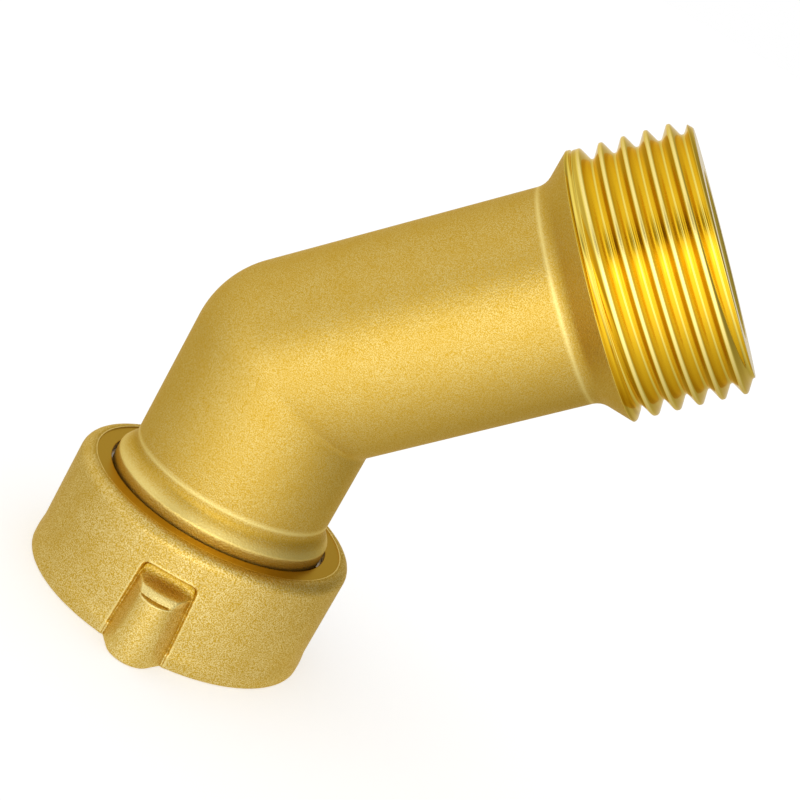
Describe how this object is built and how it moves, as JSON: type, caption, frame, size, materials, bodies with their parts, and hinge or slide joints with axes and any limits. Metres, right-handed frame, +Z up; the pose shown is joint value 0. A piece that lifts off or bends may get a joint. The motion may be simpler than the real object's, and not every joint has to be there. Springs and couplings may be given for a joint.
{
  "type": "hose elbow",
  "caption": "Angled brass hose elbow: cast tube bent by forty-five degrees, slotted swivel nut with grip lugs at one end, flared male hose thread at the other.",
  "frame": {"origin": "centre of the swivel nut's lower face, on the nut's axis", "axes": "+Z up the nut's axis into the elbow; the male leg leans from it towards +X; a grip lug faces -Y, turned a few degrees towards +X"},
  "size_m": [0.0555, 0.0366, 0.0692],
  "materials": {
    "cast_brass": "sand-cast, tumbled to a satin, with a bright machined thread",
    "nut_brass": "blasted, with a machined top face",
    "ring_wire": "flat spring wire",
    "washer_rubber": "matt moulded rubber"
  },
  "bodies": {
    "elbow": {"elbow_body": "cast_brass", "retaining_ring": "ring_wire"},
    "nut": {"swivel_nut": "nut_brass", "hose_washer": "washer_rubber"}
  },
  "joints": [
    {"name": "nut_swivel", "type": "hinge", "parent": "elbow", "child": "nut", "pos_m": [0, 0, 0.011], "axis": [0, 0, 1], "continuous": true}
  ]
}
